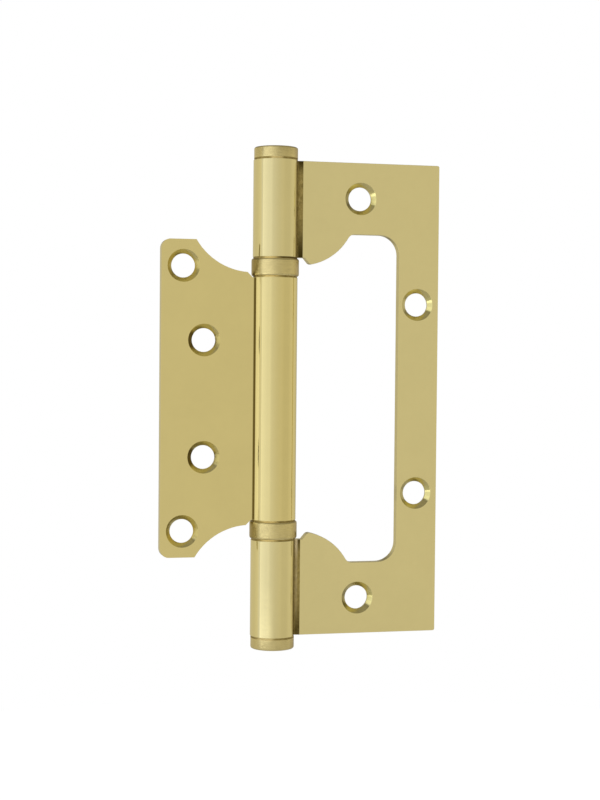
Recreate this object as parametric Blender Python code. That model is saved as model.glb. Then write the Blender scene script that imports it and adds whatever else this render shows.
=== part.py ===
"""Flush hinge, 125 x 75 x 2.5 mm, laid open flat.

A butterfly hinge: the inner leaf folds into the window of the outer leaf, so it needs no mortise.
Both leaves are one steel sheet each, stamped to outline and rolled round the pin. Two thrust ball
bearings carry the middle knuckle between the end knuckles, and a turned cap closes each end.

The barrel stands along Z and the leaves lie flat against the plane Y = 0, with the screw
countersinks on their front, towards -Y. The origin is on the back of the outer leaf, midway between
the two screw holes beside the window. Lengths are in metres.
"""

import math

import bmesh
import bpy
from mathutils import Matrix, Vector

# Sheet, pin and fits
SHEET = 0.0025
PIN_RADIUS = 0.0031
CLEARANCE = 0.0003

# Inner leaf, reach measured from the pin axis to the free edge
INNER_HEIGHT = 0.0827
INNER_REACH = 0.03035
INNER_CORNER = 0.0024
MIDDLE_KNUCKLE = 0.0635

# Outer leaf: a frame round the window that takes the inner leaf
END_GAP = 0.00225
SIDE_GAP = 0.00325
FRAME_BAND = 0.0189
FRAME_STRIP = 0.01105
FRAME_CORNER = 0.0005
WINDOW_CORNER = 0.0053
WINDOW_FILLET = 0.0020

# Round lobes beside the end knuckles, and the hollows of the inner leaf that clear them
LOBE_CENTRE = 0.0066
LOBE_RADIUS = 0.0150
LOBE_DROP = 0.0020
LOBE_GAP = 0.00205
LOBE_STEP = 0.0025
LOBE_ROUND = 0.0012
LOBE_SLANT = 40.0
NOTCH = 0.0017

# Rolled knuckles: the sheet leaves the leaf plane in a bend, wide on the outer leaf and tight on the
# inner leaf, then wraps the pin
OUTER_BEND = 0.00185
INNER_BEND = 0.0002
SEAM_GAP = 0.00085
SEAM_ROUND = 0.0014

# Countersunk screw holes
SCREW_BORE = 0.0060
SCREW_HEAD = 0.0085
HEAD_ANGLE = 82.0
BAND_HOLE_INSET = 0.02175
STRIP_HOLE_INSET = 0.0058
STRIP_HOLE_PITCH = 0.0505
CORNER_HOLE_INSET = 0.00585
CORNER_HOLE_DROP = 0.00685
INNER_HOLE_INSET = 0.01135
INNER_HOLE_PITCH = 0.0305

# Caps
CAP_STEP = 0.00015
CAP_HEIGHT = 0.00305
CAP_ROUND = 0.0005
SPIGOT_LENGTH = 0.0060
PIN_CHAMFER = 0.0004

# Thrust ball bearings
BEARING_HEIGHT = 0.0048
SHELL_PROUD = 0.00035
SHELL_WALL = 0.0004
SHELL_LIP = 0.00125
SHELL_ROUND = 0.0006
SHELL_SETBACK = 0.0001
RACE_THICKNESS = 0.00155
BALL_RADIUS = 0.0009
BALL_COUNT = 12

# Fineness of round shapes: how far a chord may lie inside its arc, and segments of turned pieces
CHORD_ERROR = 0.000012
ROUND_SEGMENTS = 48
BEARING_SEGMENTS = 32
HOLE_SEGMENTS = 32
BALL_SEGMENTS = 10
BALL_RINGS = 7
SHARP_ANGLE = 30.0
SAME_POINT = 1e-7

# Angle from the closed hinge to the pose shown, laid open flat
OPEN_ANGLE = 180.0

# Worked out from the sizes above
BORE_RADIUS = PIN_RADIUS + CLEARANCE
KNUCKLE_RADIUS = BORE_RADIUS + SHEET
KNUCKLE_START = MIDDLE_KNUCKLE / 2 + BEARING_HEIGHT + 2 * CLEARANCE
WINDOW_HEIGHT = INNER_HEIGHT + 2 * END_GAP
WINDOW_REACH = INNER_REACH + SIDE_GAP
OUTER_HEIGHT = WINDOW_HEIGHT + 2 * FRAME_BAND
OUTER_REACH = WINDOW_REACH + FRAME_STRIP
BARREL_SIDE = -2 * KNUCKLE_RADIUS
SHELL_RADIUS = KNUCKLE_RADIUS + SHELL_PROUD
FLANGE_RADIUS = SHELL_RADIUS - SHELL_WALL - CLEARANCE
PITCH_RADIUS = (BORE_RADIUS + FLANGE_RADIUS) / 2
PIN_AXIS = Vector((STRIP_HOLE_INSET - OUTER_REACH, -SHEET / 2, 0.0))


def polar(radius, degrees):
    """A vector in the plane from its length and direction."""
    angle = math.radians(degrees)
    return Vector((radius * math.cos(angle), radius * math.sin(angle)))


def arc(centre, radius, start, end):
    """Points of an arc between two directions in degrees, both ends included."""
    step = math.degrees(2 * math.acos(1 - CHORD_ERROR / radius))
    count = max(2, math.ceil(abs(end - start) / step))
    return [centre + polar(radius, start + (end - start) * i / count) for i in range(count + 1)]


def direction(start, end):
    """The direction in degrees from one point of the plane to another."""
    return math.degrees(math.atan2(end.y - start.y, end.x - start.x))


def without_doubles(points):
    """The same closed outline with coinciding neighbours made one."""
    return [point for i, point in enumerate(points) if (point - points[i - 1]).length > SAME_POINT]


def mirrored(points):
    """The outline's other half, mirrored in the plane Z = 0 and in reverse order."""
    return [Vector((point.x, -point.y)) for point in reversed(points)]


def finish(name, colour, roughness):
    """A metal finish."""
    material = bpy.data.materials.new(name)
    material.use_nodes = True
    shader = material.node_tree.nodes["Principled BSDF"]
    shader.inputs["Base Color"].default_value = (*colour, 1.0)
    shader.inputs["Metallic"].default_value = 1.0
    shader.inputs["Roughness"].default_value = roughness
    return material


def shade(mesh):
    """Smooth shading across round sides, with crisp edges between them."""
    mesh.shade_smooth()
    mesh.set_sharp_from_angle(angle=math.radians(SHARP_ANGLE))


def add_object(name, mesh, parent):
    """An object that shows this mesh, carried by its parent."""
    obj = bpy.data.objects.new(name, mesh)
    obj.parent = parent
    bpy.context.scene.collection.objects.link(obj)
    return obj


def mesh_from(name, bm, material=None):
    """A mesh from a finished bmesh, which is used up."""
    bmesh.ops.recalc_face_normals(bm, faces=bm.faces)
    mesh = bpy.data.meshes.new(name)
    bm.to_mesh(mesh)
    bm.free()
    shade(mesh)
    if material:
        mesh.materials.append(material)
    return mesh


def add_frame(name, parent=None, location=(0.0, 0.0, 0.0), turn=Matrix.Identity(3)):
    """An empty that carries other objects."""
    frame = bpy.data.objects.new(name, None)
    frame.empty_display_size = SHEET
    frame.parent = parent
    frame.location = location
    frame.rotation_euler = turn.to_euler()
    bpy.context.scene.collection.objects.link(frame)
    return frame


def shape_by(obj, cutter, operation):
    """Cuts an object by a helper, then removes the helper."""
    modifier = obj.modifiers.new(cutter.name, "BOOLEAN")
    modifier.operation = operation
    modifier.solver = "EXACT"
    modifier.object = cutter
    bpy.context.view_layer.update()
    graph = bpy.context.evaluated_depsgraph_get()
    solid = bpy.data.meshes.new_from_object(obj.evaluated_get(graph))
    obj.modifiers.clear()
    obj.data = solid
    shade(solid)
    bpy.data.objects.remove(cutter)


def prism(outline, height):
    """A bmesh of an outline in the XY plane, extruded to this height centred on Z = 0."""
    bm = bmesh.new()
    points = without_doubles(outline)
    face = bm.faces.new([bm.verts.new((point.x, point.y, -height / 2)) for point in points])
    swept = bmesh.ops.extrude_face_region(bm, geom=[face], use_keep_orig=True)
    top = [item for item in swept["geom"] if isinstance(item, bmesh.types.BMVert)]
    bmesh.ops.translate(bm, verts=top, vec=(0.0, 0.0, height))
    return bm


def turned(bm, profile, segments, place=Matrix.Identity(4)):
    """Adds a solid of revolution about Z: the profile gives (radius, height) pairs round its section."""
    before = set(bm.verts)
    section = [bm.verts.new((radius, 0.0, height)) for radius, height in profile]
    sides = zip(section, section[1:] + section[:1])
    edges = [bm.edges.new(ends) for ends in sides if ends[0].co.x + ends[1].co.x > 0.0]
    bmesh.ops.spin(
        bm,
        geom=section + edges,
        cent=(0.0, 0.0, 0.0),
        axis=(0.0, 0.0, 1.0),
        angle=math.tau,
        steps=segments,
        use_merge=True,
    )
    made = [vert for vert in bm.verts if vert not in before]
    bmesh.ops.transform(bm, matrix=place, verts=made)
    bmesh.ops.remove_doubles(bm, verts=made, dist=SAME_POINT)


def bend_start(inner_radius):
    """Distance from the pin axis to the line where the flat of a leaf ends and its bend begins."""
    middle = BORE_RADIUS + SHEET / 2
    return math.sqrt(middle**2 + 2 * middle * (inner_radius + SHEET / 2))


def knuckle_section(reach, inner_radius):
    """Section of a leaf across the pin, with the pin at the origin and the seam on the -Y side."""
    pin = Vector((0.0, 0.0))
    bend = inner_radius + SHEET / 2
    bend_centre = Vector((bend_start(inner_radius), bend))
    meeting = direction(pin, bend_centre)
    # The lip stops where its outer corner is the seam gap away from the bend
    spread = bend_centre.length
    to_bend = bend + SHEET / 2 + SEAM_GAP
    opening = (KNUCKLE_RADIUS**2 + spread**2 - to_bend**2) / (2 * KNUCKLE_RADIUS * spread)
    lip = 360.0 + meeting - math.degrees(math.acos(opening))
    round_turn = math.degrees(math.asin(SEAM_ROUND / (KNUCKLE_RADIUS - SEAM_ROUND)))
    round_centre = polar(KNUCKLE_RADIUS - SEAM_ROUND, lip - round_turn)
    return [
        Vector((reach, SHEET / 2)),
        Vector((reach, -SHEET / 2)),
        *arc(bend_centre, bend + SHEET / 2, 270.0, 180.0 + meeting),
        *arc(pin, BORE_RADIUS, meeting, lip),
        *arc(round_centre, SEAM_ROUND, lip + 90.0, lip - round_turn),
        *arc(pin, KNUCKLE_RADIUS, lip - round_turn, meeting),
        *arc(bend_centre, inner_radius, 180.0 + meeting, 270.0),
    ]


def lobe_centre():
    """Centre of the upper lobe, seen from the front with the pin axis at X = 0."""
    return Vector((LOBE_CENTRE, KNUCKLE_START - LOBE_DROP + LOBE_RADIUS))


def window_half():
    """Upper half of the window's edge, from beyond the barrel to the side beside the strip."""
    lobe = lobe_centre()
    top = WINDOW_HEIGHT / 2
    start = Vector((bend_start(OUTER_BEND) + LOBE_STEP, 0.0))
    start.y = lobe.y - math.sqrt((LOBE_RADIUS - LOBE_ROUND) ** 2 - (start.x - lobe.x) ** 2)
    # A slanted edge runs from the end of the knuckle into the round at the foot of the lobe
    slant = start + polar(LOBE_ROUND, 180.0 + LOBE_SLANT)
    step = slant.x - (KNUCKLE_START - slant.y) * math.tan(math.radians(LOBE_SLANT))
    reach = LOBE_RADIUS + WINDOW_FILLET
    fillet = Vector((0.0, top - WINDOW_FILLET))
    fillet.x = lobe.x + math.sqrt(reach**2 - (fillet.y - lobe.y) ** 2)
    corner = Vector((WINDOW_REACH - WINDOW_CORNER, top - WINDOW_CORNER))
    return [
        Vector((BARREL_SIDE, KNUCKLE_START)),
        Vector((step, KNUCKLE_START)),
        *arc(start, LOBE_ROUND, 180.0 + LOBE_SLANT, 360.0 + direction(lobe, start)),
        *arc(lobe, LOBE_RADIUS, direction(lobe, start), direction(lobe, fillet)),
        *arc(fillet, WINDOW_FILLET, 180.0 + direction(lobe, fillet), 90.0),
        *arc(corner, WINDOW_CORNER, 90.0, 0.0),
    ]


def outer_outline():
    """The outer leaf seen from the front: a frame with its window open towards the barrel."""
    corner = Vector((OUTER_REACH - FRAME_CORNER, OUTER_HEIGHT / 2 - FRAME_CORNER))
    outside = [Vector((BARREL_SIDE, OUTER_HEIGHT / 2)), *arc(corner, FRAME_CORNER, 90.0, 0.0)]
    window = window_half()
    return [*outside, *mirrored(outside), *reversed(mirrored(window)), *reversed(window)]


def inner_outline():
    """The inner leaf seen from the front, reach to the right."""
    lobe = lobe_centre()
    hollow = LOBE_RADIUS + LOBE_GAP
    top = INNER_HEIGHT / 2
    shoulder = Vector((lobe.x + math.sqrt(hollow**2 - (top - lobe.y) ** 2), top))
    notch = Vector((bend_start(INNER_BEND) + NOTCH, 0.0))
    notch.y = lobe.y - math.sqrt(hollow**2 - (notch.x - lobe.x) ** 2)
    drop = notch.y - MIDDLE_KNUCKLE / 2
    corner = Vector((INNER_REACH - INNER_CORNER, top - INNER_CORNER))
    half = [
        Vector((BARREL_SIDE, MIDDLE_KNUCKLE / 2)),
        Vector((notch.x - drop, MIDDLE_KNUCKLE / 2)),
        *arc(lobe, hollow, direction(lobe, notch), direction(lobe, shoulder)),
        *arc(corner, INNER_CORNER, 90.0, 0.0),
    ]
    return [*half, *mirrored(half)]


def hole_cutter(name, centres, leaf, front):
    """Countersunk screw holes at these points of a leaf, their heads on its front side, -1 or 1."""
    bore = SCREW_BORE / 2
    head = SCREW_HEAD / 2
    slope = math.tan(math.radians(HEAD_ANGLE / 2))
    beyond = SHEET / 2
    profile = [
        (0.0, SHEET / 2 + beyond),
        (head + beyond * slope, SHEET / 2 + beyond),
        (bore, SHEET / 2 - (head - bore) / slope),
        (bore, -SHEET / 2 - beyond),
        (0.0, -SHEET / 2 - beyond),
    ]
    bm = bmesh.new()
    for across, up in centres:
        place = Matrix.Translation((across, 0.0, up)) @ Matrix.Rotation(-front * math.pi / 2, 4, "X")
        turned(bm, profile, HOLE_SEGMENTS, place)
    return add_object(name, mesh_from(name, bm), leaf)


def rolled_leaf(name, section, height, outline, holes, front, parent, material):
    """A leaf: its rolled section over the full height, trimmed to the outline, with screw holes."""
    leaf = add_object(name, mesh_from(name, prism(section, height), material), parent)
    plate = prism(outline, 4 * KNUCKLE_RADIUS)
    bmesh.ops.rotate(plate, verts=plate.verts, matrix=Matrix.Rotation(math.pi / 2, 3, "X"))
    outline_cutter = add_object(name + "_outline", mesh_from(name + "_outline", plate), leaf)
    shape_by(leaf, outline_cutter, "INTERSECT")
    shape_by(leaf, hole_cutter(name + "_holes", holes, leaf, front), "DIFFERENCE")
    return leaf


def above_and_below(across, up):
    """The same place in the upper and in the lower half of a leaf."""
    return [(across, up), (across, -up)]


def outer_leaf(parent, material):
    """The leaf with the window and the two end knuckles."""
    band_middle = (OUTER_HEIGHT + WINDOW_HEIGHT) / 4
    holes = [
        *above_and_below(OUTER_REACH - BAND_HOLE_INSET, band_middle),
        *above_and_below(OUTER_REACH - STRIP_HOLE_INSET, STRIP_HOLE_PITCH / 2),
    ]
    section = knuckle_section(OUTER_REACH, OUTER_BEND)
    outline = outer_outline()
    rolled_leaf("outer_leaf", section, OUTER_HEIGHT, outline, holes, -1, parent, material)


def inner_leaf(parent, material):
    """The leaf with the middle knuckle. It is turned about the pin from its place in the window."""
    corner_height = INNER_HEIGHT / 2 - CORNER_HOLE_DROP
    holes = [
        *above_and_below(INNER_REACH - CORNER_HOLE_INSET, corner_height),
        *above_and_below(INNER_REACH - INNER_HOLE_INSET, INNER_HOLE_PITCH / 2),
    ]
    section = knuckle_section(INNER_REACH, INNER_BEND)
    outline = inner_outline()
    leaf = rolled_leaf("inner_leaf", section, INNER_HEIGHT, outline, holes, 1, parent, material)
    leaf.rotation_euler.z = math.radians(OPEN_ANGLE)


def hinge_pin(parent, material):
    """The pin, held in the end knuckles between the spigots of the caps."""
    half = OUTER_HEIGHT / 2 + CLEARANCE - SPIGOT_LENGTH - CLEARANCE
    profile = [
        (0.0, half),
        (PIN_RADIUS - PIN_CHAMFER, half),
        (PIN_RADIUS, half - PIN_CHAMFER),
        (PIN_RADIUS, PIN_CHAMFER - half),
        (PIN_RADIUS - PIN_CHAMFER, -half),
        (0.0, -half),
    ]
    bm = bmesh.new()
    turned(bm, profile, ROUND_SEGMENTS)
    add_object("hinge_pin", mesh_from("hinge_pin", bm, material), parent)


def end_cap(name, parent, material):
    """A turned cap whose spigot is held in the bore of an end knuckle, outer face upwards."""
    radius = KNUCKLE_RADIUS - CAP_STEP
    seat = OUTER_HEIGHT / 2 + CLEARANCE
    top = seat + CAP_HEIGHT
    spigot = BORE_RADIUS - CLEARANCE
    rim = Vector((radius - CAP_ROUND, top - CAP_ROUND))
    profile = [
        (0.0, top),
        *[tuple(point) for point in arc(rim, CAP_ROUND, 90.0, 0.0)],
        (radius, seat),
        (spigot, seat),
        (spigot, seat - SPIGOT_LENGTH),
        (0.0, seat - SPIGOT_LENGTH),
    ]
    bm = bmesh.new()
    turned(bm, profile, ROUND_SEGMENTS)
    return add_object(name, mesh_from(name, bm, material), parent)


def bearing_shell(name, parent, material):
    """A pressed ring that wraps both races, its lips turned in over their shoulders."""
    half = BEARING_HEIGHT / 2 - SHELL_SETBACK
    inside = SHELL_RADIUS - SHELL_WALL
    lip = SHELL_RADIUS - SHELL_LIP
    rim = Vector((SHELL_RADIUS - SHELL_ROUND, half - SHELL_ROUND))
    upper = [
        (lip, half - SHELL_WALL),
        (lip, half),
        *[tuple(point) for point in arc(rim, SHELL_ROUND, 90.0, 0.0)],
    ]
    lower = [(radius, -height) for radius, height in reversed(upper)]
    hollow = [(inside, SHELL_WALL - half), (inside, half - SHELL_WALL)]
    bm = bmesh.new()
    turned(bm, [*upper, *lower, *hollow], BEARING_SEGMENTS)
    add_object(name, mesh_from(name, bm, material), parent)


def bearing_race(name, parent, material):
    """The upper race: a flange with the ball groove below, and a boss that stands through the lip."""
    top = BEARING_HEIGHT / 2
    bottom = top - RACE_THICKNESS
    shoulder = top - SHELL_SETBACK - SHELL_WALL - CLEARANCE
    boss = SHELL_RADIUS - SHELL_LIP - CLEARANCE
    groove = BALL_RADIUS + CLEARANCE
    edge = math.degrees(math.asin(bottom / groove))
    profile = [
        (BORE_RADIUS, top),
        (boss, top),
        (boss, shoulder),
        (FLANGE_RADIUS, shoulder),
        (FLANGE_RADIUS, bottom),
        *[tuple(point) for point in arc(Vector((PITCH_RADIUS, 0.0)), groove, edge, 180.0 - edge)],
        (BORE_RADIUS, bottom),
    ]
    bm = bmesh.new()
    turned(bm, profile, BEARING_SEGMENTS)
    return add_object(name, mesh_from(name, bm, material), parent)


def bearing_balls(name, parent, material):
    """The balls, spaced evenly round the pin."""
    bm = bmesh.new()
    bmesh.ops.create_uvsphere(
        bm, u_segments=BALL_SEGMENTS, v_segments=BALL_RINGS, radius=BALL_RADIUS
    )
    mesh = mesh_from(name, bm, material)
    for i in range(BALL_COUNT):
        ball = add_object(f"{name}_{i + 1}", mesh, parent)
        ball.location.xy = polar(PITCH_RADIUS, i * 360.0 / BALL_COUNT)


def thrust_bearing(side, sign, parent, shell_finish, steel):
    """One bearing between the middle knuckle and an end knuckle. The lower one is turned over."""
    height = MIDDLE_KNUCKLE / 2 + CLEARANCE + BEARING_HEIGHT / 2
    turn = Matrix.Rotation(0.0 if sign > 0 else math.pi, 3, "X")
    frame = add_frame(side + "_bearing", parent, (0.0, 0.0, sign * height), turn)
    bearing_shell(side + "_bearing_shell", frame, shell_finish)
    bearing_race(side + "_bearing_fixed_race", frame, steel)
    turning = bearing_race(side + "_bearing_turning_race", frame, steel)
    turning.rotation_euler.x = math.pi
    bearing_balls(side + "_bearing_ball", frame, steel)


def build():
    """The whole hinge, in place of whatever the scene holds."""
    for obj in list(bpy.data.objects):
        bpy.data.objects.remove(obj)
    brass = finish("polished_brass_plate", (0.66, 0.53, 0.22), 0.22)
    satin = finish("satin_brass_plate", (0.55, 0.45, 0.20), 0.38)
    steel = finish("bearing_steel", (0.58, 0.57, 0.55), 0.25)
    axis = add_frame("pin_axis", location=PIN_AXIS)
    outer_leaf(axis, brass)
    inner_leaf(axis, brass)
    hinge_pin(axis, steel)
    end_cap("top_cap", axis, satin)
    lower_cap = end_cap("bottom_cap", axis, satin)
    lower_cap.rotation_euler.x = math.pi
    thrust_bearing("upper", 1, axis, satin, steel)
    thrust_bearing("lower", -1, axis, satin, steel)


build()
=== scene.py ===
"""Studio scene of the flush hinge: polished brass leaves, satin caps and bearing rings.

Lengths are in metres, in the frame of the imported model: the barrel stands along Z, the countersunk
fronts of both leaves face -Y, and the origin is on the back of the outer leaf.
"""

import math

import bmesh
import bpy
from mathutils import Matrix, Vector


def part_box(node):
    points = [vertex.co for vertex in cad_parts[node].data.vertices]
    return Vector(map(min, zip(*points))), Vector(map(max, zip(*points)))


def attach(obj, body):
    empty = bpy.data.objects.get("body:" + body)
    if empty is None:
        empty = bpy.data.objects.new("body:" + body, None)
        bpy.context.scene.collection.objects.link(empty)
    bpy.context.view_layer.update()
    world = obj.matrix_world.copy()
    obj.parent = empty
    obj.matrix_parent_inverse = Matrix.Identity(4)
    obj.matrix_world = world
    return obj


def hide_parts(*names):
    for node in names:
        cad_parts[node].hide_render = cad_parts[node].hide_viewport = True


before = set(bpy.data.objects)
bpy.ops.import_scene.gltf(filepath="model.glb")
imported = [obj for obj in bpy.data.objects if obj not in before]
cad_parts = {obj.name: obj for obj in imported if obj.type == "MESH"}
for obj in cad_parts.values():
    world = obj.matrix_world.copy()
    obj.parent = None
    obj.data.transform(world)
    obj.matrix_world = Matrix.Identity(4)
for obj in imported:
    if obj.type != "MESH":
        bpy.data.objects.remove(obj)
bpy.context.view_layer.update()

# Sheet and barrel
SHEET = 0.0025
FRONT = -0.0025
PIN_X = -0.03885
PIN_Y = -0.00125
BORE_RADIUS = 0.0034
KNUCKLE_TOP = 0.0625
LEAF_START = 0.0066

# Bends between leaf and knuckle: distance of their centre line from the pin, and their inner radius
OUTER_BEND_START = 0.0071
OUTER_BEND = 0.00185
INNER_BEND_START = 0.005925
INNER_BEND = 0.0002

# Seam side of a bend: how far it lies below the flat, the width of the step, and where it ends in depth
STRIP_STEP = 0.00007
STRIP_SLOPE = 0.00005
STRIP_END = -0.0015

# How far the upper seam stands above the lower one
SEAM_PITCH = 0.09965

# Countersinks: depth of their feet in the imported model, and how far they are raised
SINK_FOOT = FRONT + 0.001438
SINK_RAISE = 0.0002

# Bores of the screw holes: their radius, how much wider they are made, and how much more at the back
HOLE_RADIUS = 0.003
HOLE_SLACK = 0.00015
REAMED = 1.033
PUNCHED = 1.08
BACK_RING = -0.0003

# Screw holes: place across, place in height, strength of the painted shade on the left wall, colour of the
# painted highlight on the right wall
OUTER_WALL = (0.86, 0.79, 0.35, 1.0)
INNER_WALL = (0.82, 0.69, 0.25, 1.0)
SCREW_HOLES = [
    (-0.01595, 0.05305, 0.4, OUTER_WALL),
    (0.0, 0.02525, 0.05, OUTER_WALL),
    (0.0, -0.02525, 0.2, OUTER_WALL),
    (-0.01595, -0.05305, 0.4, OUTER_WALL),
    (-0.06335, 0.0345, 0.1, INNER_WALL),
    (-0.05785, 0.01525, 0.9, INNER_WALL),
    (-0.05785, -0.01525, 0.9, INNER_WALL),
    (-0.06335, -0.0345, 0.05, INNER_WALL),
]

# Painted shade and painted highlight on the walls of the countersinks: distance from the middle of the
# hole, and widths
HEAD_WALL = 0.0037
WALL_SHADE_WIDTH = 0.0033
GLEAM_WIDTH = 0.0026

# Edges rounded by polishing
EDGE_ROUND = 0.00016
SHARP_EDGE = math.radians(28)

# Turned pieces
LATHE_STEPS = 128
CAP_ROUND = 0.00045
RIM_ROUND = 0.00012
CAP_SEAT = 0.0629
CAP_NECK = 0.0057
SPIGOT_RADIUS = 0.0031
RING_ROUND = 0.0006
RING_WALL = 0.0004
RING_LIP = 0.00125
RING_NECK = 0.00578
NECK_HEIGHT = 0.00038

# How near a place counts as the same, or as on a surface
SAME_PLACE = 1e-6
ON_FOOT = 0.00002
ON_RING = 0.00003
ON_BEND = 0.00004
ON_TURNED = 0.0001

# Colours of the finishes, each as dark and pale blotches
OUTER_BRASS = ((0.91, 0.812, 0.435, 1.0), (0.95, 0.848, 0.455, 1.0))
INNER_BRASS = ((0.91, 0.79, 0.379, 1.0), (0.95, 0.826, 0.396, 1.0))
MACHINED_BRASS = ((0.68, 0.60, 0.28, 1.0), (0.80, 0.71, 0.355, 1.0))
RAW_SHEET = ((0.27, 0.20, 0.055, 1.0), (0.68, 0.54, 0.20, 1.0))
SATIN_BRASS = ((0.77, 0.655, 0.32, 1.0), (0.90, 0.77, 0.375, 1.0))
# Painted shade of the joints between knuckles, rings and caps
JOINT_SHADE = ((0.26, 0.19, 0.045, 1.0), (0.62, 0.49, 0.18, 1.0))
GROUND_STEEL = ((0.50, 0.49, 0.47, 1.0), (0.64, 0.63, 0.61, 1.0))

# Painted reflections: colours where the neighbouring metal mirrors a finish
BRASS_MIRRORED = (0.96, 0.92, 0.76, 1.0)
SATIN_MIRRORED = (0.85, 0.78, 0.58, 1.0)
RAW_MIRRORED = (0.16, 0.105, 0.03, 1.0)

# Colours of tool marks and a tan line, and of painted shade and painted highlights
# Painted shade in the crease between the inner leaf and its knuckle
CREASE_SHADE = (0.17, 0.115, 0.012, 1.0)
# A tan line on the rounded lip of the outer knuckle beside the seam
LIP_TAN = (0.52, 0.42, 0.16, 1.0)
TOOL_MARK = (0.56, 0.48, 0.20, 1.0)
# Painted shade on the left walls of the countersinks
LEFT_WALL_SHADE = (0.09, 0.06, 0.008, 1.0)
ROLLER_MARK = (0.72, 0.60, 0.28, 1.0)
# Painted shade at the ends of the seams
SEAM_END_SHADE = (0.06, 0.04, 0.006, 1.0)
# Painted highlight on the lower seam, and painted shade beside its knuckle
SEAM_HIGHLIGHT = (0.98, 0.83, 0.53, 1.0)
SEAM_SHADE = (0.10, 0.06, 0.006, 1.0)
# Painted shade on the sides of the bearing rings and caps
LEFT_SIDE_SHADE = (0.44, 0.335, 0.10, 1.0)
RIGHT_SIDE_SHADE = (0.60, 0.48, 0.23, 1.0)
# Painted highlights on the joints where they face the light
RING_JOINT_HIGHLIGHT = (0.90, 0.72, 0.29, 1.0)
CAP_JOINT_HIGHLIGHT = (0.84, 0.69, 0.31, 1.0)
# Painted shade at the right of the topmost ring joint
JOINT_RIGHT_SHADE = (0.19, 0.13, 0.03, 1.0)

# Studio
FLOOR_Z = -0.2
FLOOR_GLOW = 0.68
TENT_LEVEL = 0.6
COOL_LIGHT = (1.0, 0.995, 0.98, 1.0)
WARM_LIGHT = (1.0, 0.93, 0.72, 1.0)
WHITE = (1.0, 1.0, 1.0, 1.0)


def deselect():
    """Nothing selected, in object mode."""
    if bpy.context.mode != "OBJECT":
        bpy.ops.object.mode_set(mode="OBJECT")
    bpy.ops.object.select_all(action="DESELECT")


def activate(piece):
    """Only this piece is selected and active."""
    deselect()
    piece.select_set(True)
    bpy.context.view_layer.objects.active = piece


def edit(piece):
    """Edit mode on one piece with everything selected."""
    activate(piece)
    bpy.ops.object.mode_set(mode="EDIT")
    bpy.ops.mesh.select_mode(type="VERT")
    bpy.ops.mesh.select_all(action="SELECT")


def select_verts(piece, test):
    """In edit mode, selects the vertices that pass a test on their place."""
    bpy.ops.mesh.select_mode(type="VERT")
    bpy.ops.mesh.select_all(action="DESELECT")
    bm = bmesh.from_edit_mesh(piece.data)
    for vert in bm.verts:
        vert.select_set(test(vert.co))
    bm.select_flush_mode()
    bmesh.update_edit_mesh(piece.data)


def select_faces(piece, test):
    """In edit mode, selects the faces that pass a test on their middle and their normal."""
    bpy.ops.mesh.select_mode(type="FACE")
    bpy.ops.mesh.select_all(action="DESELECT")
    bm = bmesh.from_edit_mesh(piece.data)
    for face in bm.faces:
        face.select_set(test(face.calc_center_median(), face.normal))
    bmesh.update_edit_mesh(piece.data)


def paint(piece, slot, test):
    """In edit mode, gives the faces that pass a test the finish in this slot."""
    select_faces(piece, test)
    piece.active_material_index = slot
    bpy.ops.object.material_slot_assign()


def order_faces(piece):
    """In edit mode, orders the faces by their corners, because a spin leaves them in any order."""
    bm = bmesh.from_edit_mesh(piece.data)
    bm.verts.index_update()
    ordered = sorted(bm.faces, key=lambda face: sorted(vert.index for vert in face.verts))
    rank = {face: place for place, face in enumerate(ordered)}
    bm.faces.sort(key=rank.get)
    bmesh.update_edit_mesh(piece.data)


def apply_modifiers(piece):
    """Applies every modifier in order."""
    activate(piece)
    for modifier in list(piece.modifiers):
        bpy.ops.object.modifier_apply(modifier=modifier.name)


def soften_edges(piece, width, segments):
    """Rounds the sharp edges and keeps the flats flat in the shading."""
    activate(piece)
    bevel = piece.modifiers.new("rounded_edges", "BEVEL")
    bevel.width = width
    bevel.segments = segments
    bevel.limit_method = "ANGLE"
    bevel.angle_limit = SHARP_EDGE
    bevel.use_clamp_overlap = True
    bpy.ops.object.shade_smooth()
    weighted = piece.modifiers.new("flat_faces", "WEIGHTED_NORMAL")
    weighted.mode = "FACE_AREA"
    weighted.weight = 50
    apply_modifiers(piece)


def give_finishes(piece, *materials):
    """Gives a piece its finishes. The first one covers it until faces are painted."""
    piece.data.materials.clear()
    for material in materials:
        piece.data.materials.append(material)


def finish_piece(piece, body, slot, *nodes):
    """Lets a piece ride on a body in place of these nodes."""
    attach(piece, body)
    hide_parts(*nodes)


def from_pin(place):
    """Distance of a place from the pin axis."""
    return math.hypot(place.x - PIN_X, place.y - PIN_Y)


# Shader parts


def link(tree, source, target):
    """Sets a socket to a number or colour, or links another socket to it."""
    if isinstance(source, bpy.types.NodeSocket):
        tree.links.new(source, target)
    else:
        target.default_value = source


def math_node(tree, operation, first, second=0.0, clamp=False):
    """A math node on sockets or numbers."""
    node = tree.nodes.new("ShaderNodeMath")
    node.operation = operation
    node.use_clamp = clamp
    link(tree, first, node.inputs[0])
    if operation not in ("ABSOLUTE", "ARCSINE", "SQRT"):
        link(tree, second, node.inputs[1])
    return node.outputs[0]


def product(tree, *factors):
    """Sockets and numbers multiplied with each other."""
    result = factors[0]
    for factor in factors[1:]:
        result = math_node(tree, "MULTIPLY", result, factor)
    return result


def total(tree, *parts):
    """Sockets and numbers added to each other."""
    result = parts[0]
    for part in parts[1:]:
        result = math_node(tree, "ADD", result, part)
    return result


def minus(tree, first, second):
    """One socket or number less another."""
    return math_node(tree, "SUBTRACT", first, second)


def diagonal(tree, across, along):
    """Length of the diagonal of two sides."""
    return math_node(tree, "SQRT", total(tree, product(tree, across, across), product(tree, along, along)))


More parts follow.
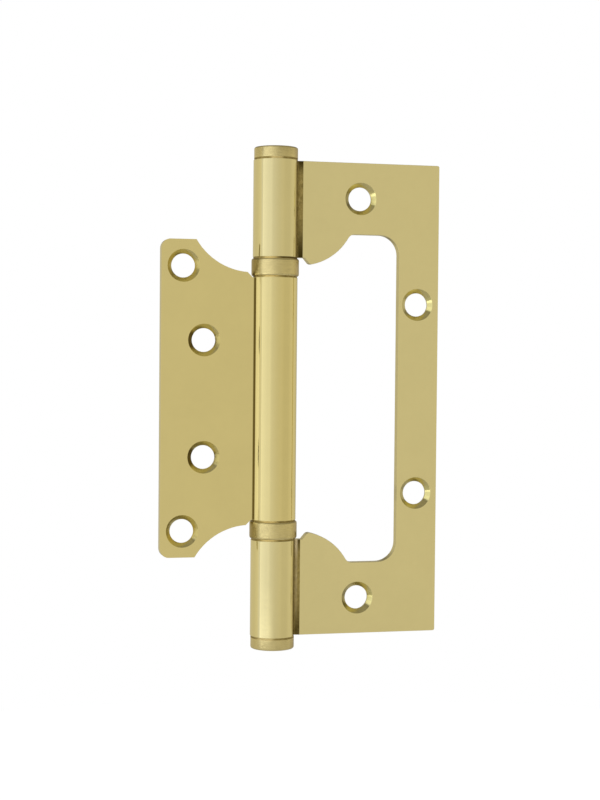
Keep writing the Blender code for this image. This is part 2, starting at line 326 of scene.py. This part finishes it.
def rise(tree, value, start, end):
    """A mask that rises smoothly from 0 at start to 1 at end."""
    node = tree.nodes.new("ShaderNodeMapRange")
    node.interpolation_type = "SMOOTHSTEP"
    node.clamp = True
    for socket, number in (("Value", value), ("From Min", start), ("From Max", end)):
        link(tree, number, node.inputs[socket])
    return node.outputs["Result"]


def mix_colours(tree, factor, first, second):
    """A blend of two colours."""
    node = tree.nodes.new("ShaderNodeMix")
    node.data_type = "RGBA"
    link(tree, factor, node.inputs[0])
    link(tree, first, node.inputs[6])
    link(tree, second, node.inputs[7])
    return node.outputs[2]


def object_place(tree):
    """The place on the piece, as one vector."""
    return tree.nodes.new("ShaderNodeTexCoord").outputs["Object"]


def split_vector(tree, vector):
    """The three numbers of a vector."""
    node = tree.nodes.new("ShaderNodeSeparateXYZ")
    tree.links.new(vector, node.inputs[0])
    return node.outputs


def noise(tree, vector, scale, detail=3.0):
    """Noise between 0 and 1."""
    node = tree.nodes.new("ShaderNodeTexNoise")
    link(tree, vector, node.inputs["Vector"])
    link(tree, scale, node.inputs["Scale"])
    node.inputs["Detail"].default_value = detail
    node.inputs["Roughness"].default_value = 0.55
    return node.outputs["Fac"]


def new_group(name, inputs, output):
    """An empty shader group with named sockets, and its two end nodes."""
    tree = bpy.data.node_groups.new(name, "ShaderNodeTree")
    for label, value in inputs.items():
        kind = "NodeSocketVector" if isinstance(value, tuple) else "NodeSocketFloat"
        socket = tree.interface.new_socket(label, in_out="INPUT", socket_type=kind)
        socket.default_value = value
    tree.interface.new_socket(output, in_out="OUTPUT", socket_type="NodeSocketFloat")
    return tree, tree.nodes.new("NodeGroupInput").outputs, tree.nodes.new("NodeGroupOutput").inputs


def place_group(tree, group, **values):
    """Places a group in a material with its own values, and returns what it puts out."""
    node = tree.nodes.new("ShaderNodeGroup")
    node.node_tree = group
    for label, value in values.items():
        link(tree, value, node.inputs[label])
    return node.outputs[0]


def cloud_group():
    """Soft blotches that every metal shows: two sizes of noise as one value round 0.5."""
    tree, given, result = new_group("metal_clouds", {"Scale": 150.0, "Contrast": 1.0}, "Value")
    place = object_place(tree)
    broad = noise(tree, place, given["Scale"])
    fine = noise(tree, place, product(tree, given["Scale"], 6.0))
    both = total(tree, product(tree, broad, 0.65), product(tree, fine, 0.35))
    spread = product(tree, minus(tree, both, 0.5), given["Contrast"])
    tree.links.new(math_node(tree, "ADD", spread, 0.5, clamp=True), result["Value"])
    return tree


def grain_group():
    """Fine lines left by a tool: noise stretched along the axes of the piece."""
    tree, given, result = new_group("tool_lines", {"Density": (1000.0, 1000.0, 1000.0)}, "Height")
    mapping = tree.nodes.new("ShaderNodeMapping")
    tree.links.new(object_place(tree), mapping.inputs["Vector"])
    tree.links.new(given["Density"], mapping.inputs["Scale"])
    tree.links.new(noise(tree, mapping.outputs[0], 1.0, 2.0), result["Height"])
    return tree


def lathe_group():
    """Turning marks: lines that circle the pin, closer together than the eye can part."""
    tree, given, result = new_group("turning_marks", {"Pitch": 9000.0}, "Height")
    centre = tree.nodes.new("ShaderNodeMapping")
    centre.inputs["Location"].default_value = (-PIN_X, -PIN_Y, 0.0)
    tree.links.new(object_place(tree), centre.inputs["Vector"])
    x, y, z = split_vector(tree, centre.outputs[0])
    combine = tree.nodes.new("ShaderNodeCombineXYZ")
    tree.links.new(product(tree, diagonal(tree, x, y), given["Pitch"]), combine.inputs[0])
    tree.links.new(product(tree, math_node(tree, "ARCTAN2", y, x), 3.0), combine.inputs[1])
    tree.links.new(product(tree, z, given["Pitch"]), combine.inputs[2])
    tree.links.new(noise(tree, combine.outputs[0], 1.0, 2.0), result["Height"])
    return tree


def crease_group():
    """A mask round a line that runs beside the pin, up to a height above and below the middle."""
    values = {"Across": 0.0, "Depth": 0.0, "Width": 0.0003, "Core": 0.6, "Reach": 0.03}
    tree, given, result = new_group("crease_beside_pin", values, "Mask")
    x, y, z = split_vector(tree, object_place(tree))
    away = diagonal(tree, minus(tree, x, given["Across"]), minus(tree, y, given["Depth"]))
    near = rise(tree, away, given["Width"], product(tree, given["Width"], given["Core"]))
    within = math_node(tree, "LESS_THAN", math_node(tree, "ABSOLUTE", z), given["Reach"])
    tree.links.new(product(tree, near, within), result["Mask"])
    return tree


def spot_group():
    """A round mask that is seen from the front and the back."""
    values = {"Across": 0.0, "Height": 0.0, "Width": 0.003}
    tree, given, result = new_group("spot_on_front", values, "Mask")
    x, y, z = split_vector(tree, object_place(tree))
    away = diagonal(tree, minus(tree, x, given["Across"]), minus(tree, z, given["Height"]))
    near = rise(tree, away, given["Width"], product(tree, given["Width"], 0.5))
    tree.links.new(near, result["Mask"])
    return tree


clouds = cloud_group()
tool_lines = grain_group()
turning_marks = lathe_group()
crease = crease_group()
spot = spot_group()


# Finishes


def new_material(name):
    """A node material with its node tree and its shader."""
    material = bpy.data.materials.new(name)
    material.use_nodes = True
    return material, material.node_tree, material.node_tree.nodes["Principled BSDF"]


def new_metal(name, metallic=1.0):
    """A metal with its node tree and its shader."""
    material, tree, shader = new_material(name)
    shader.inputs["Metallic"].default_value = metallic
    return material, tree, shader


def set_roughness(tree, shader, shade, added, least):
    """Roughness that follows the blotches: the least of it, and what they add."""
    tree.links.new(total(tree, product(tree, shade, added), least), shader.inputs["Roughness"])


def bump(tree, shader, height, distance):
    """Feeds a height in metres to the shader's normal."""
    node = tree.nodes.new("ShaderNodeBump")
    node.inputs["Distance"].default_value = distance
    tree.links.new(height, node.inputs["Height"])
    tree.links.new(node.outputs[0], shader.inputs["Normal"])


def seen_in_metal(tree, colour, mirrored):
    """A colour that changes where the neighbouring metal mirrors it: a painted reflection."""
    path = tree.nodes.new("ShaderNodeLightPath")
    return mix_colours(tree, path.outputs["Is Glossy Ray"], colour, mirrored)


def beside_pin(tree, across, depth, width, **values):
    """The crease mask, at a distance across and in depth from the pin."""
    return place_group(tree, crease, Across=PIN_X + across, Depth=PIN_Y + depth, Width=width, **values)


def polished_brass(name, blotches, dark_lines):
    """Bright polished brass plate, with darker lines beside the pin, as the caller lists them."""
    material, tree, shader = new_metal(name)
    shade = place_group(tree, clouds, Scale=90.0, Contrast=2.2)
    smear = place_group(tree, clouds, Scale=420.0, Contrast=2.5)
    lines = place_group(tree, tool_lines, Density=(2600.0, 2600.0, 25.0))
    colour = seen_in_metal(tree, mix_colours(tree, shade, *blotches), BRASS_MIRRORED)
    rough = total(tree, product(tree, smear, 0.06), 0.06)
    for across, depth, width, reach, brown in dark_lines:
        line_mask = beside_pin(tree, across, depth, width, Reach=reach)
        colour = mix_colours(tree, line_mask, colour, brown)
        rough = total(tree, rough, product(tree, line_mask, 0.2))
    tree.links.new(colour, shader.inputs["Base Color"])
    tree.links.new(rough, shader.inputs["Roughness"])
    bump(tree, shader, total(tree, product(tree, lines, 0.04), shade), 0.000008)
    return material


def machined_brass():
    """Countersinks, bores and stamped edges: plated over tool marks, so duller than the fronts."""
    material, tree, shader = new_metal("machined_brass")
    lines = place_group(tree, tool_lines, Density=(500.0, 30000.0, 500.0))
    shade = place_group(tree, clouds, Scale=900.0, Contrast=2.5)
    colour = mix_colours(tree, shade, *MACHINED_BRASS)
    colour = mix_colours(tree, rise(tree, lines, 0.55, 0.8), colour, TOOL_MARK)
    # Painted shade on the left wall of each countersink, and a painted highlight on its right wall
    for across, height, left_shade, gleam in SCREW_HOLES:
        left = place_group(tree, spot, Across=across - HEAD_WALL, Height=height, Width=WALL_SHADE_WIDTH)
        right = place_group(tree, spot, Across=across + HEAD_WALL, Height=height, Width=GLEAM_WIDTH)
        colour = mix_colours(tree, product(tree, left, left_shade), colour, LEFT_WALL_SHADE)
        colour = mix_colours(tree, product(tree, right, 0.8), colour, gleam)
    tree.links.new(colour, shader.inputs["Base Color"])
    set_roughness(tree, shader, shade, 0.08, 0.10)
    bump(tree, shader, lines, 0.0000015)
    return material


def raw_sheet():
    """Sheet that the polishing wheel can't reach, brown and mottled, beside and inside the seams."""
    material, tree, shader = new_metal("raw_sheet")
    shade = place_group(tree, clouds, Scale=800.0, Contrast=3.0)
    lines = place_group(tree, tool_lines, Density=(5000.0, 5000.0, 500.0))
    x, y, z = split_vector(tree, object_place(tree))
    colour = mix_colours(tree, shade, *RAW_SHEET)
    colour = mix_colours(tree, rise(tree, lines, 0.62, 0.74), colour, ROLLER_MARK)
    # The height on either seam is counted as on the upper one
    lower_seam = math_node(tree, "LESS_THAN", z, 0.0)
    height = total(tree, z, product(tree, lower_seam, SEAM_PITCH))
    # Painted shade: beside the flat, both seams darken towards their lower end and just below their upper
    # end
    lit = product(
        tree,
        rise(tree, height, KNUCKLE_TOP - 0.0255, KNUCKLE_TOP - 0.0135),
        rise(tree, height, KNUCKLE_TOP, KNUCKLE_TOP - 0.0045),
    )
    share = minus(tree, 0.95, product(tree, lower_seam, 0.2))
    near_flat = rise(tree, x, PIN_X + 0.0056, PIN_X + 0.0062)
    beside_flat = total(tree, product(tree, near_flat, 0.8), 0.2)
    colour = mix_colours(tree, product(tree, minus(tree, 1.0, lit), share, beside_flat), colour, SEAM_END_SHADE)
    # Painted highlight: the lower seam has a pale streak, palest at its upper end. Painted shade: it is
    # dark beside the knuckle
    along = total(
        tree,
        product(tree, rise(tree, height, KNUCKLE_TOP - 0.024, KNUCKLE_TOP - 0.012), 0.28),
        product(tree, rise(tree, height, KNUCKLE_TOP - 0.006, KNUCKLE_TOP - 0.001), 0.7),
    )
    left = rise(tree, x, PIN_X + 0.0055, PIN_X + 0.0059)
    right = rise(tree, x, PIN_X + 0.0066, PIN_X + 0.0062)
    colour = mix_colours(tree, product(tree, along, lower_seam, left, right), colour, SEAM_HIGHLIGHT)
    near_knuckle = rise(tree, x, PIN_X + 0.0058, PIN_X + 0.0053)
    colour = mix_colours(tree, product(tree, near_knuckle, 0.7, lower_seam), colour, SEAM_SHADE)
    tree.links.new(seen_in_metal(tree, colour, RAW_MIRRORED), shader.inputs["Base Color"])
    set_roughness(tree, shader, shade, 0.2, 0.38)
    bump(tree, shader, total(tree, shade, lines), 0.00002)
    return material


def satin_brass():
    """Satin brass of caps and bearing rings, with fine turning marks."""
    material, tree, shader = new_metal("satin_brass")
    marks = place_group(tree, turning_marks, Pitch=14000.0)
    shade = place_group(tree, clouds, Scale=700.0, Contrast=2.6)
    colour = seen_in_metal(tree, mix_colours(tree, shade, *SATIN_BRASS), SATIN_MIRRORED)
    # Painted shade on the left side of the bearing rings, and on the right side of rings and caps
    left = beside_pin(tree, -0.0064, -0.0002, 0.0052, Core=0.3, Reach=0.045)
    colour = mix_colours(tree, left, colour, LEFT_SIDE_SHADE)
    right = beside_pin(tree, 0.0064, -0.0030, 0.0036, Core=0.3, Reach=1.0)
    colour = mix_colours(tree, right, colour, RIGHT_SIDE_SHADE)
    tree.links.new(colour, shader.inputs["Base Color"])
    set_roughness(tree, shader, shade, 0.08, 0.18)
    bump(tree, shader, marks, 0.00003)
    return material


def joint_shade():
    """Dark brown painted shade in the joints beside the bearing rings and under the caps."""
    material, tree, shader = new_metal("joint_shade", 0.8)
    shade = place_group(tree, clouds, Scale=900.0, Contrast=3.0)
    colour = mix_colours(tree, shade, *JOINT_SHADE)
    # Painted highlight at the front of each joint, and painted shade, blackest, at the right of the
    # topmost ring joint
    highlight = beside_pin(tree, -0.0024, -0.0054, 0.0031, Core=0.3, Reach=0.05)
    colour = mix_colours(tree, highlight, colour, RING_JOINT_HIGHLIGHT)
    for across, height, width in ((-0.0009, 0.0627, 0.0020), (-0.0028, -0.0627, 0.0026)):
        highlight = place_group(tree, spot, Across=PIN_X + across, Height=height, Width=width)
        colour = mix_colours(tree, highlight, colour, CAP_JOINT_HIGHLIGHT)
    # Painted shade at the right of the topmost ring joint
    right_shade = place_group(tree, spot, Across=PIN_X + 0.0030, Height=0.0390, Width=0.0052)
    colour = mix_colours(tree, right_shade, colour, JOINT_RIGHT_SHADE)
    tree.links.new(colour, shader.inputs["Base Color"])
    set_roughness(tree, shader, shade, 0.3, 0.35)
    bump(tree, shader, shade, 0.00002)
    return material


def ground_steel():
    """Ground steel of pin, races and balls."""
    material, tree, shader = new_metal("ground_steel")
    marks = place_group(tree, turning_marks, Pitch=9000.0)
    shade = place_group(tree, clouds, Scale=500.0, Contrast=2.0)
    tree.links.new(mix_colours(tree, shade, *GROUND_STEEL), shader.inputs["Base Color"])
    set_roughness(tree, shader, shade, 0.15, 0.16)
    bump(tree, shader, marks, 0.000004)
    return material


# Darker lines beside the pin: distance across and in depth from the pin, width, reach in height, colour
# A tan line on the rounded lip of the outer knuckle beside the seam
outer_brass = polished_brass(
    "polished_brass_outer", OUTER_BRASS, [(0.0050, -0.0030, 0.0013, 1.0, LIP_TAN)]
)
# Painted shade in the crease between the inner leaf and its knuckle
inner_brass = polished_brass(
    "polished_brass_inner", INNER_BRASS, [(-0.00564, -0.00165, 0.00062, 0.0317, CREASE_SHADE)]
)
machined = machined_brass()
raw = raw_sheet()
satin = satin_brass()
shaded_joints = joint_shade()
steel = ground_steel()


# Pieces


def leaf_plate(node, side, bend_start, bend_radius, polished):
    """A leaf with its facets joined and its faces finished. Side is 1 to the right of the pin."""
    piece = bpy.data.objects.new(node + "_plate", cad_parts[node].data.copy())
    bpy.context.scene.collection.objects.link(piece)
    give_finishes(piece, polished, machined, raw)
    edit(piece)
    bpy.ops.mesh.remove_doubles(threshold=SAME_PLACE)
    bpy.ops.mesh.dissolve_limited(angle_limit=math.radians(0.5))
    bend_x = PIN_X + side * bend_start
    bend_y = PIN_Y + side * (bend_radius + SHEET / 2)
    slope_end = PIN_X + side * (bend_start - STRIP_SLOPE)

    def on_leaf(place):
        """Whether a place lies on the leaf, past the knuckle."""
        return side * (place.x - PIN_X) > LEAF_START

    def on_strip(place):
        """Whether a place lies on the outside of the bend, which is open at the seam."""
        away = math.hypot(place.x - bend_x, place.y - bend_y)
        return abs(away - bend_radius - SHEET) < ON_BEND and side * (place.x - PIN_X) < bend_start

    def on_lowered_strip(place):
        """Whether a place lies on the seam side of the bend, past the step."""
        past_step = side * (slope_end - place.x) > -SAME_PLACE
        return on_strip(place) and past_step and side * (place.y - STRIP_END) < 0.0

    def unpolished(place):
        """Whether a place lies inside the roll or on the open bend."""
        return from_pin(place) < BORE_RADIUS + ON_TURNED or on_strip(place)

    paint(piece, 1, lambda place, normal: abs(normal.y) < 0.9 and on_leaf(place))
    paint(piece, 2, lambda place, normal: abs(normal.z) < 0.5 and unpolished(place))
    # The seam side of the bend lies a little lower than the polished flat
    select_faces(piece, lambda place, normal: abs(normal.z) < 0.5 and on_strip(place))
    bpy.ops.mesh.bisect(plane_co=(slope_end, 0.0, 0.0), plane_no=(1.0, 0.0, 0.0))
    select_verts(piece, on_lowered_strip)
    bpy.ops.transform.translate(value=(0.0, side * STRIP_STEP, 0.0))
    # The feet of the countersinks come nearer to the front
    select_verts(piece, lambda place: abs(place.y - SINK_FOOT) < ON_FOOT and on_leaf(place))
    bpy.ops.transform.translate(value=(0.0, -SINK_RAISE, 0.0))
    # Punched bores are a little wider than drawn, and widen towards the back
    for across, height, _, _ in SCREW_HOLES:
        if side * (across - PIN_X) > 0.0:
            for depth, scale in ((FRONT, REAMED), (BACK_RING, PUNCHED)):

                def on_bore(place):
                    """Whether a place behind this depth lies on the bore."""
                    away = math.hypot(place.x - across, place.z - height)
                    return place.y > depth and away < HOLE_RADIUS + HOLE_SLACK

                select_verts(piece, on_bore)
                bpy.ops.transform.resize(
                    value=(scale, 1.0, scale), center_override=(across, 0.0, height)
                )
    deselect()
    return piece


def turned(name, profile, rounds, centre_z, side=1):
    """A lathe piece about the pin: corners (radius, height), some rounded, spun all the way round."""
    bpy.ops.mesh.primitive_plane_add(size=0.001, location=(0.0, 0.0, 0.0))
    piece = bpy.context.active_object
    piece.name = name
    piece.data.name = name
    edit(piece)
    bpy.ops.mesh.merge(type="CENTER")
    corners = [Vector((PIN_X + radius, PIN_Y, centre_z + side * height)) for radius, height in profile]
    bpy.ops.transform.translate(value=corners[0])
    for start, end in zip(corners, corners[1:]):
        bpy.ops.mesh.extrude_region_move(TRANSFORM_OT_translate={"value": end - start})
    for corner, radius, segments in rounds:
        select_verts(piece, lambda place, at=corners[corner]: (place - at).length < SAME_PLACE)
        bpy.ops.mesh.bevel(offset=radius, offset_type="OFFSET", segments=segments, affect="VERTICES")
    bpy.ops.mesh.select_all(action="SELECT")
    bpy.ops.mesh.spin(
        steps=LATHE_STEPS,
        angle=math.tau,
        center=(PIN_X, PIN_Y, 0.0),
        axis=(0.0, 0.0, 1.0),
        use_auto_merge=True,
    )
    bpy.ops.mesh.select_all(action="SELECT")
    bpy.ops.mesh.remove_doubles(threshold=1e-7)
    bpy.ops.mesh.normals_make_consistent(inside=False)
    order_faces(piece)
    deselect()
    activate(piece)
    bpy.ops.object.transform_apply(location=True, rotation=True, scale=True)
    bpy.ops.object.shade_smooth_by_angle(angle=SHARP_EDGE)
    return piece


def paint_joint(piece, radius):
    """Covers the faces inside this radius with the painted shade of the joints."""
    give_finishes(piece, satin, shaded_joints)
    edit(piece)
    paint(piece, 1, lambda place, normal: from_pin(place) < radius)
    deselect()


outer_plate = leaf_plate("outer_leaf", 1, OUTER_BEND_START, OUTER_BEND, outer_brass)
inner_plate = leaf_plate("inner_leaf", -1, INNER_BEND_START, INNER_BEND, inner_brass)
for plate, body in ((outer_plate, "outer"), (inner_plate, "inner")):
    soften_edges(plate, EDGE_ROUND, 3)
    finish_piece(plate, body, "polished_brass_plate", body + "_leaf")

for side, cap in ((1, "top_cap"), (-1, "bottom_cap")):
    low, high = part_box(cap)
    radius = (high.x - low.x) / 2
    top = max(abs(low.z), abs(high.z))
    foot = min(abs(low.z), abs(high.z))
    profile = [
        (0.0, top),
        (radius, top),
        (radius, CAP_SEAT),
        (CAP_NECK, CAP_SEAT),
        (CAP_NECK, KNUCKLE_TOP),
        (SPIGOT_RADIUS, KNUCKLE_TOP),
        (SPIGOT_RADIUS, foot),
        (0.0, foot),
    ]
    piece = turned(cap + "_turned", profile, [(1, CAP_ROUND, 6), (2, RIM_ROUND, 3)], 0.0, side)
    paint_joint(piece, CAP_NECK + ON_TURNED)
    edit(piece)
    paint(piece, 0, lambda place, normal: abs(place.z) > CAP_SEAT + ON_TURNED)
    deselect()
    finish_piece(piece, "outer", "satin_brass_plate", cap)

for side in ("upper", "lower"):
    low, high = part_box(side + "_bearing_shell")
    radius = (high.x - low.x) / 2
    half = (high.z - low.z) / 2
    middle = (high.z + low.z) / 2
    lip = radius - RING_LIP
    inside = radius - RING_WALL
    profile = [
        (lip, half + NECK_HEIGHT),
        (RING_NECK, half + NECK_HEIGHT),
        (RING_NECK, half),
        (radius, half),
        (radius, -half),
        (RING_NECK, -half),
        (RING_NECK, -half - NECK_HEIGHT),
        (lip, -half - NECK_HEIGHT),
        (lip, RING_WALL - half),
        (inside, RING_WALL - half),
        (inside, half - RING_WALL),
        (lip, half - RING_WALL),
        (lip, half + NECK_HEIGHT),
    ]
    piece = turned(side + "_bearing_ring", profile, [(3, RING_ROUND, 7), (4, RING_ROUND, 7)], middle)
    paint_joint(piece, RING_NECK + ON_RING)
    finish_piece(piece, "outer", "satin_brass_plate", side + "_bearing_shell")

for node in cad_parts.values():
    if not node.hide_render:
        give_finishes(node, steel)


# Studio


def studio_floor():
    """A wide pale floor below the hinge, white to the camera with the shadow of the hinge on it."""
    deselect()
    bpy.ops.mesh.primitive_circle_add(
        vertices=96, radius=0.55, fill_type="NGON", location=(0.0, 0.0, FLOOR_Z)
    )
    floor = bpy.context.active_object
    floor.name = "studio_floor"
    bpy.ops.object.transform_apply(location=True, rotation=True, scale=True)
    material, tree, shader = new_material("studio_floor")
    shader.inputs["Base Color"].default_value = (0.9, 0.9, 0.9, 1.0)
    shader.inputs["Roughness"].default_value = 0.9
    glow = tree.nodes.new("ShaderNodeEmission")
    path = tree.nodes.new("ShaderNodeLightPath")
    add = tree.nodes.new("ShaderNodeAddShader")
    tree.links.new(product(tree, path.outputs["Is Camera Ray"], FLOOR_GLOW), glow.inputs["Strength"])
    tree.links.new(shader.outputs[0], add.inputs[0])
    tree.links.new(glow.outputs[0], add.inputs[1])
    tree.links.new(add.outputs[0], tree.nodes["Material Output"].inputs["Surface"])
    floor.data.materials.append(material)


def studio_tent():
    """A pale tent with one large soft panel on the left. Angles are in degrees from the front."""
    world = bpy.data.worlds.new("studio_tent")
    bpy.context.scene.world = world
    world.use_nodes = True
    tree = world.node_tree
    nodes, links = tree.nodes, tree.links
    nodes.clear()
    degrees = 180.0 / math.pi
    x, y, z = split_vector(tree, nodes.new("ShaderNodeTexCoord").outputs["Generated"])
    azimuth = product(tree, math_node(tree, "ARCTAN2", x, product(tree, y, -1.0)), degrees)
    elevation = product(tree, math_node(tree, "ARCSINE", z), degrees)
    steepness = math_node(tree, "ABSOLUTE", elevation)

    def turn(start, end):
        """A mask that rises between two angles round the hinge."""
        return rise(tree, azimuth, start, end)

    def climb(start, end):
        """A mask that rises between two angles of height."""
        return rise(tree, elevation, start, end)

    # Panel on the left: crisp outer edge, softer inner edge, brightest beside the outer edge
    outer_edge = turn(-83.0, -79.0)
    panel = product(tree, 0.18, outer_edge, turn(-22.0, -39.0))
    bright_side = product(tree, 0.10, outer_edge, turn(-42.0, -80.0))
    spill = product(tree, 0.07, outer_edge, turn(12.0, -32.0), turn(-42.0, -22.0))
    # Walls beside the panel, and the dimmer room on the right
    left_wall = product(tree, 0.10, turn(-130.0, -84.0), turn(-75.0, -80.0))
    right_wall = product(tree, 0.02, turn(62.0, 85.0))
    dim_right = product(tree, -0.04, turn(22.0, 42.0), turn(82.0, 62.0))
    dim_corner = product(tree, -0.18, turn(112.0, 158.0))
    walls = total(tree, TENT_LEVEL, left_wall, right_wall, dim_right, dim_corner)
    # Beside the panel, the walls are dimmer above and below the eye line
    panel_height = product(tree, climb(38.0, 28.0), climb(-42.0, -34.0))
    beside = minus(tree, 1.0, product(tree, panel_height, outer_edge, turn(8.0, -30.0)))
    dimmed = product(tree, 0.6, rise(tree, steepness, 8.0, 24.0), beside)
    dimmed = minus(tree, dimmed, product(tree, 0.15, rise(tree, steepness, 34.0, 50.0)))
    walls = product(tree, walls, minus(tree, 1.0, dimmed))
    # The head and foot of the panel are brighter, which only the satin spreads into view
    head = product(tree, 0.14, climb(8.5, 14.0))
    foot = product(tree, 0.6, climb(-8.0, -14.0))
    ends = product(tree, total(tree, head, foot), outer_edge, turn(-2.0, -30.0))
    panels = product(tree, panel_height, total(tree, panel, bright_side, spill, ends))
    # Warm light comes from the right, from behind the left wall, and from above and below
    warmth = math_node(tree, "MAXIMUM", turn(-58.0, 42.0), turn(-80.0, -102.0))
    warmth = math_node(tree, "MAXIMUM", warmth, product(tree, 0.8, rise(tree, steepness, 28.0, 44.0)))
    tent = nodes.new("ShaderNodeBackground")
    links.new(mix_colours(tree, warmth, COOL_LIGHT, WARM_LIGHT), tent.inputs["Color"])
    links.new(total(tree, walls, panels), tent.inputs["Strength"])
    white = nodes.new("ShaderNodeBackground")
    white.inputs["Color"].default_value = WHITE
    path = nodes.new("ShaderNodeLightPath")
    mix = nodes.new("ShaderNodeMixShader")
    output = nodes.new("ShaderNodeOutputWorld")
    links.new(path.outputs["Is Camera Ray"], mix.inputs["Fac"])
    links.new(tent.outputs[0], mix.inputs[1])
    links.new(white.outputs[0], mix.inputs[2])
    links.new(mix.outputs[0], output.inputs["Surface"])


def studio_camera():
    """The camera, left of the hinge and a little above its middle."""
    data = bpy.data.cameras.new("studio_camera")
    data.lens = 73.576
    data.sensor_width = 36.0
    data.clip_start = 0.01
    data.clip_end = 50.0
    camera = bpy.data.objects.new("studio_camera", data)
    bpy.context.scene.collection.objects.link(camera)
    yaw = math.radians(-13.755)
    pitch = math.radians(-1.717)
    roll = math.radians(0.509)
    camera.location = (-0.134596, -0.421108, 0.012621)
    turn = Matrix.Rotation(yaw, 4, "Z") @ Matrix.Rotation(math.pi / 2 + pitch, 4, "X")
    camera.rotation_euler = (turn @ Matrix.Rotation(roll, 4, "Z")).to_euler()
    bpy.context.scene.camera = camera


def studio_lamp():
    """A large soft lamp above the front left that gives the floor its shadow."""
    data = bpy.data.lights.new("soft_lamp", "AREA")
    data.shape = "RECTANGLE"
    data.size = 1.4
    data.size_y = 1.4
    data.energy = 14.0
    lamp = bpy.data.objects.new("soft_lamp", data)
    bpy.context.scene.collection.objects.link(lamp)
    lamp.location = (-0.9, -1.2, 1.6)
    lamp.rotation_euler = (-lamp.location).to_track_quat("-Z", "Y").to_euler()
    lamp.visible_glossy = False
    lamp.visible_camera = False


studio_floor()
studio_tent()
studio_lamp()
studio_camera()
bpy.context.scene.view_settings.view_transform = "Standard"
